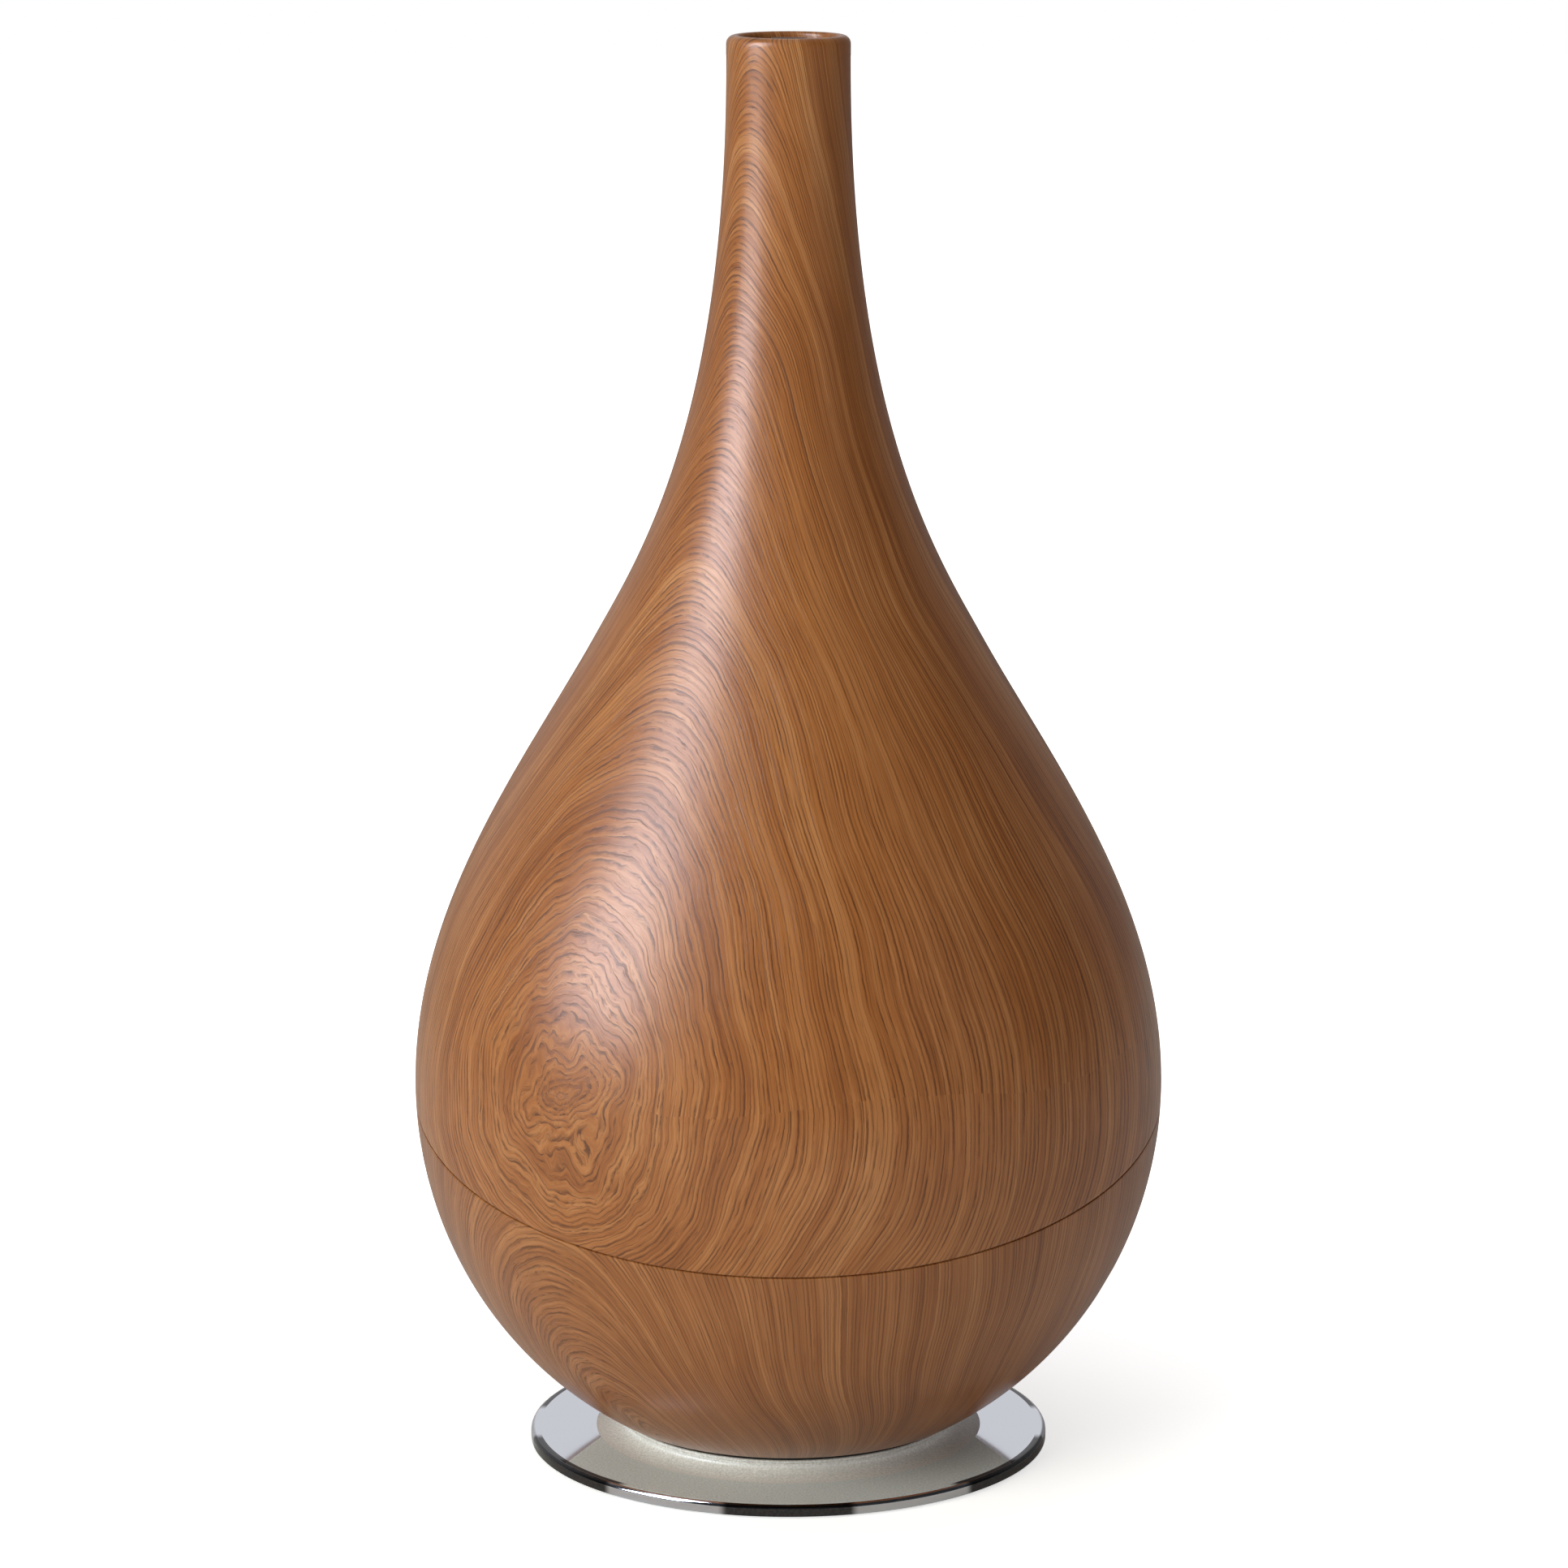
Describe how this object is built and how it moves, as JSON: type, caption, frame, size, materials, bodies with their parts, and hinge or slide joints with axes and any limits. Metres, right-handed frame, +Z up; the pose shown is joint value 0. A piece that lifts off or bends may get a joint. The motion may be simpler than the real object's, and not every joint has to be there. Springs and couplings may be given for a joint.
{
  "type": "cool mist humidifier",
  "caption": "Vase-shaped ultrasonic humidifier: a wood-look tank with a narrow neck lifts off a bowl-shaped base on a round polished stand.",
  "frame": {"origin": "centre of the footprint, on the resting plane under the feet", "axes": "+Z up along the body axis, -Y towards the front, +X to the right seen from the front"},
  "size_m": [0.234, 0.234, 0.4432],
  "materials": {
    "aluminium": "extruded and clear anodised",
    "basin_plastic": "satin moulded",
    "black_plastic": "fine moulded texture",
    "chrome_collar": "polished, turned ridges",
    "chrome_disc": "polished",
    "clear_tube": "clear smooth tube",
    "foam_grey": "open foam",
    "glass_tube": "sealed glass tube",
    "gloss_black": "smooth gloss",
    "grey_plastic": "fine moulded texture",
    "led_lens": "frosted lens",
    "magnet": "sintered ferrite",
    "nozzle_plastic": "satin dark brown",
    "pcb_green": "solder resist",
    "pcb_parts": "moulded packages",
    "piezo_ceramic": "silvered ceramic",
    "rubber_black": "matt moulded",
    "silicone": "soft matt translucent",
    "smoked_lens": "smoked lens",
    "spring_steel": "drawn wire",
    "steel": "plain machined",
    "white_plastic": "satin moulded",
    "wire_black": "smooth insulation",
    "wire_grey": "smooth insulation",
    "wire_red": "smooth insulation",
    "wood_film_lower": "satin wood-grain film on plastic, its own grain",
    "wood_film_upper": "satin wood-grain film on plastic",
    "zinc_steel": "zinc plated"
  },
  "bodies": {
    "base": {"base_shell": "wood_film_lower", "water_basin": "basin_plastic", "basin_screws": "steel", "transducer_disc": "piezo_ceramic", "transducer_seal": "silicone", "transducer_clamp": "steel", "transducer_screws": "zinc_steel", "float_retainer": "grey_plastic", "reed_switch": "glass_tube", "fan_housing": "black_plastic", "fan_motor": "zinc_steel", "fan_screws": "zinc_steel", "air_grille": "black_plastic", "air_filter": "foam_grey", "driver_board": "pcb_green", "board_parts": "pcb_parts", "heat_sink": "aluminium", "board_screws": "zinc_steel", "control_panel": "gloss_black", "status_led": "led_lens", "ir_window": "smoked_lens", "ir_receiver": "black_plastic", "control_board": "pcb_green", "power_inlet": "black_plastic", "inlet_nut": "zinc_steel", "power_lead": "wire_black", "fan_lead": "wire_red", "transducer_lead": "wire_grey", "panel_lead": "wire_grey", "base_plate": "zinc_steel", "body_gasket": "rubber_black", "stand_collar": "chrome_collar", "stand_disc": "chrome_disc", "stand_bolts": "zinc_steel", "rubber_feet": "rubber_black"},
    "tank": {"tank_shell": "wood_film_upper", "tank_floor": "white_plastic", "mist_chimney": "clear_tube", "chimney_seal": "silicone"},
    "cap": {"tank_cap": "white_plastic", "cap_gasket": "silicone", "valve_spring": "spring_steel"},
    "valve": {"valve_stem": "white_plastic", "valve_seal": "rubber_black"},
    "nozzle_sleeve": {"nozzle_sleeve": "black_plastic"},
    "nozzle": {"mist_nozzle": "nozzle_plastic"},
    "float": {"float": "white_plastic", "float_magnet": "magnet"},
    "rotor": {"fan_rotor": "grey_plastic"},
    "button_power": {"button_power": "grey_plastic"},
    "button_mist": {"button_mist": "grey_plastic"},
    "button_timer": {"button_timer": "grey_plastic"}
  },
  "joints": [
    {"name": "tank_lift", "type": "slide", "parent": "base", "child": "tank", "axis": [0, 0, 1], "range_m": [0, 0.11]},
    {"name": "nozzle_lift", "type": "slide", "parent": "tank", "child": "nozzle_sleeve", "axis": [0, 0, 1], "range_m": [0, 0.03]},
    {"name": "nozzle_turn", "type": "hinge", "parent": "nozzle_sleeve", "child": "nozzle", "pos_m": [0, 0, 0.43], "axis": [0, 0, 1], "continuous": true},
    {"name": "cap_turn", "type": "hinge", "parent": "tank", "child": "cap", "pos_m": [0, -0.048, 0.07], "axis": [0, 0, -1], "range_deg": [0, 90]},
    {"name": "valve_travel", "type": "slide", "parent": "cap", "child": "valve", "axis": [0, 0, 1], "range_m": [-0.0051, 0], "deforming": ["valve_spring"]},
    {"name": "float_rise", "type": "slide", "parent": "base", "child": "float", "axis": [0, 0, 1], "range_m": [0, 0.0095]},
    {"name": "fan_spin", "type": "hinge", "parent": "base", "child": "rotor", "pos_m": [0, 0.038, 0.034], "axis": [0, 0, 1], "continuous": true},
    {"name": "button_power_press", "type": "slide", "parent": "base", "child": "button_power", "axis": [0, -0.9032, 0.4291], "range_m": [0, 0.0011], "stiffness_N_per_m": 600},
    {"name": "button_mist_press", "type": "slide", "parent": "base", "child": "button_mist", "axis": [0, -0.9032, 0.4291], "range_m": [0, 0.0011], "stiffness_N_per_m": 600},
    {"name": "button_timer_press", "type": "slide", "parent": "base", "child": "button_timer", "axis": [0, -0.9032, 0.4291], "range_m": [0, 0.0011], "stiffness_N_per_m": 600}
  ],
  "couplings": [
    {"joint": "valve_travel", "follows": "tank_lift", "ratio": -0.0454}
  ]
}
